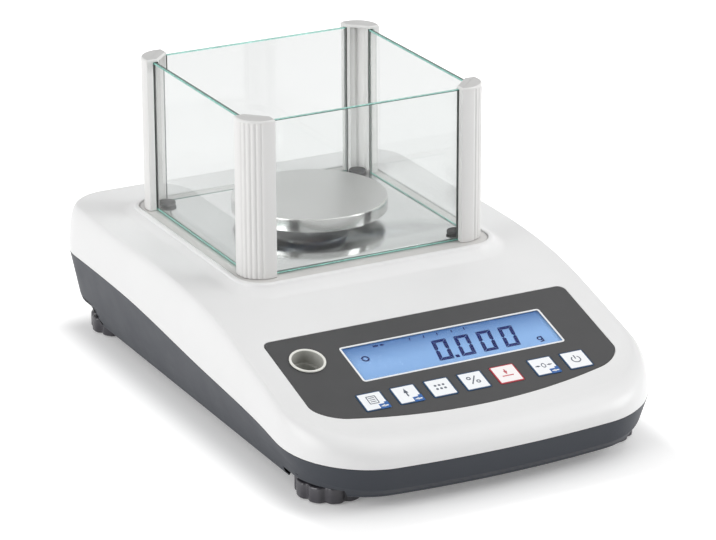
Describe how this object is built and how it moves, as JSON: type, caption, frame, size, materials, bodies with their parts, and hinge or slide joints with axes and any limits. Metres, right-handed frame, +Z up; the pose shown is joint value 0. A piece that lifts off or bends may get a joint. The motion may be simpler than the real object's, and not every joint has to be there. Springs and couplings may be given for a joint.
{
  "type": "precision balance",
  "caption": "Bench precision balance: sloping keypad housing, round weighing pan in an open-topped square glass draft shield, bubble level and levelling feet.",
  "frame": {"origin": "centre of the object's outline, on the surface that the rubber pads stand on", "axes": "+X to the user's right, +Y from the keypad towards the sockets at the rear, +Z up"},
  "size_m": [0.202, 0.318, 0.1553],
  "materials": {
    "cover_white": "fine satin moulded plastic",
    "tray_grey": "satin moulded plastic",
    "wheel_black": "smooth moulded plastic",
    "rubber_black": "matt rubber",
    "stud_rubber": "matt rubber",
    "overlay_grey": "matt printed film with a thin pale edge line",
    "key_white": "printed key face with a dark blue border",
    "key_red": "printed key face with a red border",
    "brass": "turned",
    "screw_steel": "zinc plated",
    "pan_steel": "satin top and polished rim",
    "plate_steel": "mirror polished",
    "cell_aluminium": "machined",
    "cast_aluminium": "die cast",
    "post_aluminium": "pale anodised extrusion with shallow flutes",
    "shield_glass": "clear float glass with ground edges",
    "lens_clear": "clear acrylic",
    "lcd_blue": "back-lit liquid crystal cell",
    "diffuser_white": "frosted acrylic",
    "board_green": "solder-masked laminate",
    "cable_grey": "flat flexible cable",
    "level_cup": "pale moulded plastic",
    "level_green": "liquid-filled acrylic vial"
  },
  "bodies": {
    "housing": {"top_cover": "cover_white", "base_tray": "tray_grey", "hook_plug": "tray_grey", "serial_port": "screw_steel", "power_jack": "rubber_black", "shield_floor_plate": "plate_steel", "load_cell": "cell_aluminium", "load_cell_spacer": "cell_aluminium", "load_cell_base": "cast_aluminium", "overload_stop": "screw_steel", "main_board": "board_green", "display_ribbon": "cable_grey", "display_board": "board_green", "panel_overlay": "overlay_grey", "display_window": "lens_clear", "lcd_glass": "lcd_blue", "lcd_backlight": "diffuser_white", "level_cup": "level_cup", "level_vial": "level_green", "housing_screw_front_left": "screw_steel", "foot_insert_front_left": "brass", "corner_stud_front_left": "stud_rubber", "housing_screw_front_right": "screw_steel", "foot_insert_front_right": "brass", "corner_stud_front_right": "stud_rubber", "housing_screw_rear_left": "screw_steel", "foot_insert_rear_left": "brass", "corner_stud_rear_left": "stud_rubber", "housing_screw_rear_right": "screw_steel", "foot_insert_rear_right": "brass", "corner_stud_rear_right": "stud_rubber"},
    "draft_shield": {"shield_post_front_left": "post_aluminium", "shield_post_front_right": "post_aluminium", "shield_post_rear_left": "post_aluminium", "shield_post_rear_right": "post_aluminium", "shield_pane_left": "shield_glass", "shield_pane_right": "shield_glass", "shield_pane_front": "shield_glass", "shield_pane_rear": "shield_glass"},
    "carrier": {"pan_carrier": "cast_aluminium"},
    "pan": {"weighing_pan": "pan_steel"},
    "key_body_1": {"key_1": "key_white"},
    "key_body_2": {"key_2": "key_white"},
    "key_body_3": {"key_3": "key_white"},
    "key_body_4": {"key_4": "key_white"},
    "key_body_5": {"key_5": "key_red"},
    "key_body_6": {"key_6": "key_white"},
    "key_body_7": {"key_7": "key_white"},
    "foot_pad_body_front_left": {"foot_pad_front_left": "rubber_black"},
    "foot_wheel_body_front_left": {"foot_wheel_front_left": "wheel_black"},
    "foot_pad_body_front_right": {"foot_pad_front_right": "rubber_black"},
    "foot_wheel_body_front_right": {"foot_wheel_front_right": "wheel_black"},
    "foot_pad_body_rear_left": {"foot_pad_rear_left": "rubber_black"},
    "foot_wheel_body_rear_left": {"foot_wheel_rear_left": "wheel_black"},
    "foot_pad_body_rear_right": {"foot_pad_rear_right": "rubber_black"},
    "foot_wheel_body_rear_right": {"foot_wheel_rear_right": "wheel_black"}
  },
  "joints": [
    {"name": "shield_lift", "type": "slide", "parent": "housing", "child": "draft_shield", "axis": [0, 0, 1], "range_m": [0, 0.12]},
    {"name": "load_deflection", "type": "slide", "parent": "housing", "child": "carrier", "axis": [0, 0, 1], "range_m": [-0.00025, 0], "stiffness_N_per_m": 20000, "springref_m": 0.0003},
    {"name": "pan_lift", "type": "slide", "parent": "carrier", "child": "pan", "axis": [0, 0, 1], "range_m": [0, 0.08]},
    {"name": "key_1_press", "type": "slide", "parent": "housing", "child": "key_body_1", "axis": [0, 0.2823, -0.9593], "range_m": [0, 0.0004], "stiffness_N_per_m": 5000, "springref_m": -0.0002},
    {"name": "key_2_press", "type": "slide", "parent": "housing", "child": "key_body_2", "axis": [0, 0.2823, -0.9593], "range_m": [0, 0.0004], "stiffness_N_per_m": 5000, "springref_m": -0.0002},
    {"name": "key_3_press", "type": "slide", "parent": "housing", "child": "key_body_3", "axis": [0, 0.2823, -0.9593], "range_m": [0, 0.0004], "stiffness_N_per_m": 5000, "springref_m": -0.0002},
    {"name": "key_4_press", "type": "slide", "parent": "housing", "child": "key_body_4", "axis": [0, 0.2823, -0.9593], "range_m": [0, 0.0004], "stiffness_N_per_m": 5000, "springref_m": -0.0002},
    {"name": "key_5_press", "type": "slide", "parent": "housing", "child": "key_body_5", "axis": [0, 0.2823, -0.9593], "range_m": [0, 0.0004], "stiffness_N_per_m": 5000, "springref_m": -0.0002},
    {"name": "key_6_press", "type": "slide", "parent": "housing", "child": "key_body_6", "axis": [0, 0.2823, -0.9593], "range_m": [0, 0.0004], "stiffness_N_per_m": 5000, "springref_m": -0.0002},
    {"name": "key_7_press", "type": "slide", "parent": "housing", "child": "key_body_7", "axis": [0, 0.2823, -0.9593], "range_m": [0, 0.0004], "stiffness_N_per_m": 5000, "springref_m": -0.0002},
    {"name": "foot_front_left_travel", "type": "slide", "parent": "housing", "child": "foot_pad_body_front_left", "axis": [0, 0, -1], "range_m": [-0.0013, 0.0038]},
    {"name": "foot_front_left_turn", "type": "hinge", "parent": "foot_pad_body_front_left", "child": "foot_wheel_body_front_left", "pos_m": [-0.0749, -0.1175, 0], "axis": [0, 0, 1], "range_deg": [-360, 1080]},
    {"name": "foot_front_right_travel", "type": "slide", "parent": "housing", "child": "foot_pad_body_front_right", "axis": [0, 0, -1], "range_m": [-0.0013, 0.0038]},
    {"name": "foot_front_right_turn", "type": "hinge", "parent": "foot_pad_body_front_right", "child": "foot_wheel_body_front_right", "pos_m": [0.0749, -0.1175, 0], "axis": [0, 0, 1], "range_deg": [-360, 1080]},
    {"name": "foot_rear_left_travel", "type": "slide", "parent": "housing", "child": "foot_pad_body_rear_left", "axis": [0, 0, -1], "range_m": [-0.0013, 0.0038]},
    {"name": "foot_rear_left_turn", "type": "hinge", "parent": "foot_pad_body_rear_left", "child": "foot_wheel_body_rear_left", "pos_m": [-0.0749, 0.126, 0], "axis": [0, 0, 1], "range_deg": [-360, 1080]},
    {"name": "foot_rear_right_travel", "type": "slide", "parent": "housing", "child": "foot_pad_body_rear_right", "axis": [0, 0, -1], "range_m": [-0.0013, 0.0038]},
    {"name": "foot_rear_right_turn", "type": "hinge", "parent": "foot_pad_body_rear_right", "child": "foot_wheel_body_rear_right", "pos_m": [0.0749, 0.126, 0], "axis": [0, 0, 1], "range_deg": [-360, 1080]}
  ],
  "couplings": [
    {"joint": "foot_front_left_travel", "follows": "foot_front_left_turn", "m_per_rad": 0.00019894},
    {"joint": "foot_front_right_travel", "follows": "foot_front_right_turn", "m_per_rad": 0.00019894},
    {"joint": "foot_rear_left_travel", "follows": "foot_rear_left_turn", "m_per_rad": 0.00019894},
    {"joint": "foot_rear_right_travel", "follows": "foot_rear_right_turn", "m_per_rad": 0.00019894}
  ]
}
